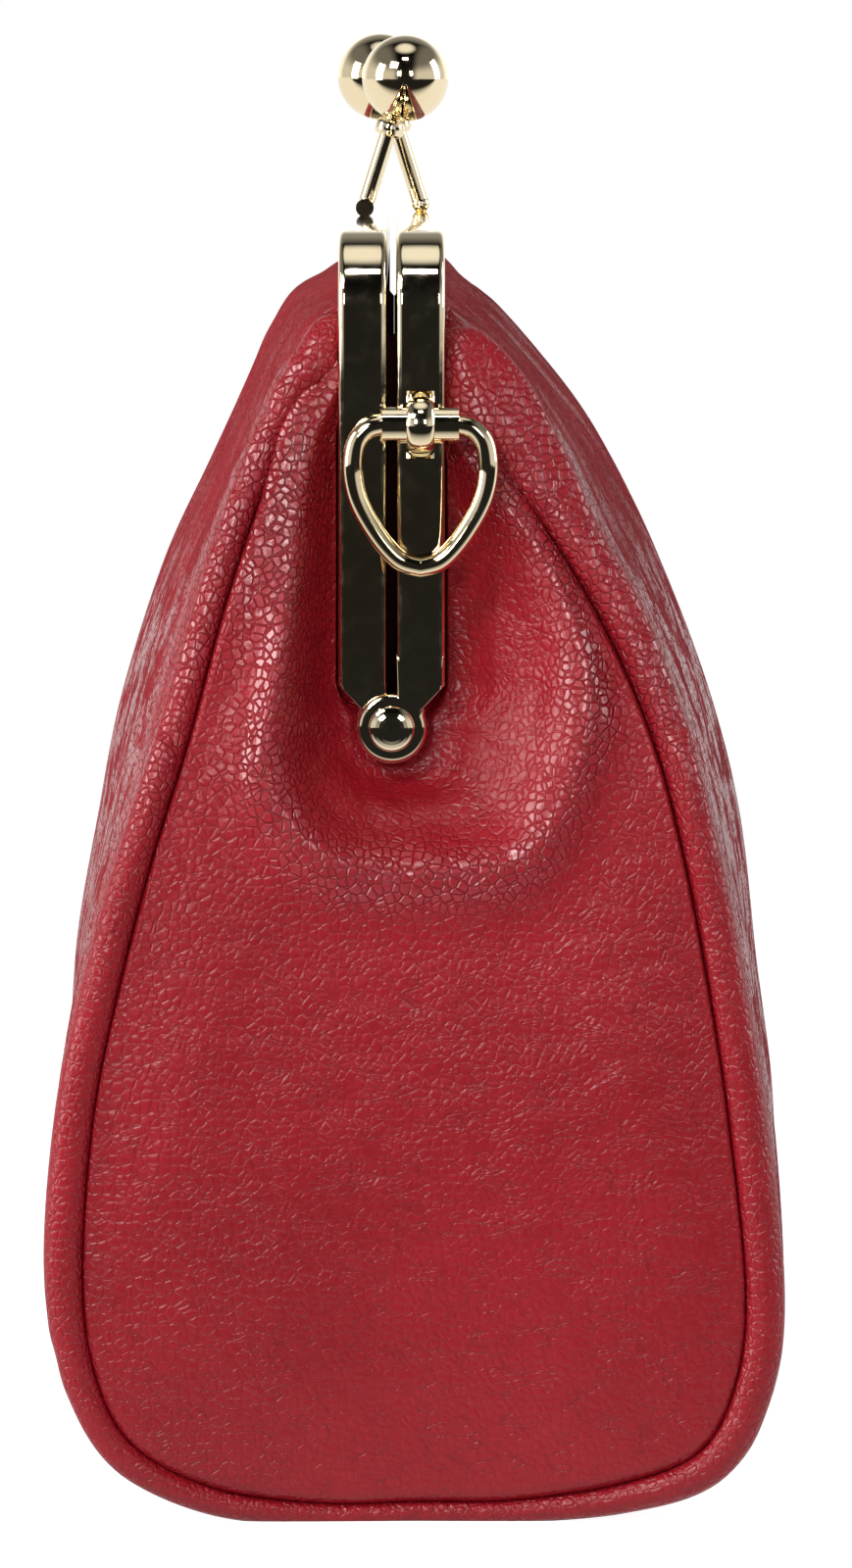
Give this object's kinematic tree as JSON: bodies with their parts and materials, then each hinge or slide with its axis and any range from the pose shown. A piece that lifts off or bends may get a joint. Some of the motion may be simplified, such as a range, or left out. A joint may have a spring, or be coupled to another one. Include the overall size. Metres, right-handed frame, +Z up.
{
  "type": "coin purse",
  "caption": "Soft leather kiss-lock purse: hinged channel frame with crossing clasp balls, gusseted pouch with lining and base board, and swinging strap rings.",
  "frame": {"origin": "middle of the base, on the surface that the purse stands on", "axes": "+X along the frame to the pictured end, -Y to the front, +Z up"},
  "size_m": [0.2176, 0.0946, 0.1882],
  "materials": {
    "leather": "pebbled red leather with a soft gloss",
    "lining_cloth": "matt woven lining",
    "board": "pressed fibre board",
    "gilt_metal": "polished pale gold",
    "paper_cord": "twisted paper cord"
  },
  "bodies": {
    "pouch": {"front_panel": "leather", "rear_panel": "leather", "right_gusset": "leather", "left_gusset": "leather", "front_lining": "lining_cloth", "rear_lining": "lining_cloth", "base_board": "board"},
    "front_frame_half": {"front_frame": "gilt_metal", "front_frame_cord": "paper_cord", "front_clasp_stem": "gilt_metal", "front_ball_collar": "gilt_metal", "front_clasp_ball": "gilt_metal"},
    "rear_frame_half": {"rear_frame": "gilt_metal", "rear_frame_cord": "paper_cord", "rear_clasp_stem": "gilt_metal", "rear_ball_collar": "gilt_metal", "rear_clasp_ball": "gilt_metal", "hinge_rivet_right": "gilt_metal", "hinge_rivet_left": "gilt_metal", "rivet_washer_right": "gilt_metal", "rivet_washer_left": "gilt_metal", "ring_lug_right": "gilt_metal", "ring_lug_left": "gilt_metal"},
    "right_ring": {"ring_barrel_right": "gilt_metal", "strap_ring_right": "gilt_metal"},
    "left_ring": {"ring_barrel_left": "gilt_metal", "strap_ring_left": "gilt_metal"}
  },
  "joints": [
    {"name": "front_frame_hinge", "type": "hinge", "parent": "pouch", "child": "front_frame_half", "pos_m": [0, -0.0033, 0.1011], "axis": [1, 0, 0], "range_deg": [0, 35], "deforming": ["front_panel", "rear_panel", "right_gusset", "left_gusset", "front_lining", "rear_lining"]},
    {"name": "rear_frame_hinge", "type": "hinge", "parent": "pouch", "child": "rear_frame_half", "pos_m": [0, -0.0033, 0.1011], "axis": [-1, 0, 0], "range_deg": [0, 35]},
    {"name": "right_ring_swing", "type": "hinge", "parent": "rear_frame_half", "child": "right_ring", "pos_m": [0.0977, 0.0004, 0.14], "axis": [0, -1, 0], "range_deg": [0, 170]},
    {"name": "left_ring_swing", "type": "hinge", "parent": "rear_frame_half", "child": "left_ring", "pos_m": [-0.0977, 0.0004, 0.14], "axis": [0, 1, 0], "range_deg": [0, 170]}
  ],
  "couplings": [
    {"joint": "rear_frame_hinge", "follows": "front_frame_hinge", "ratio": 1}
  ]
}
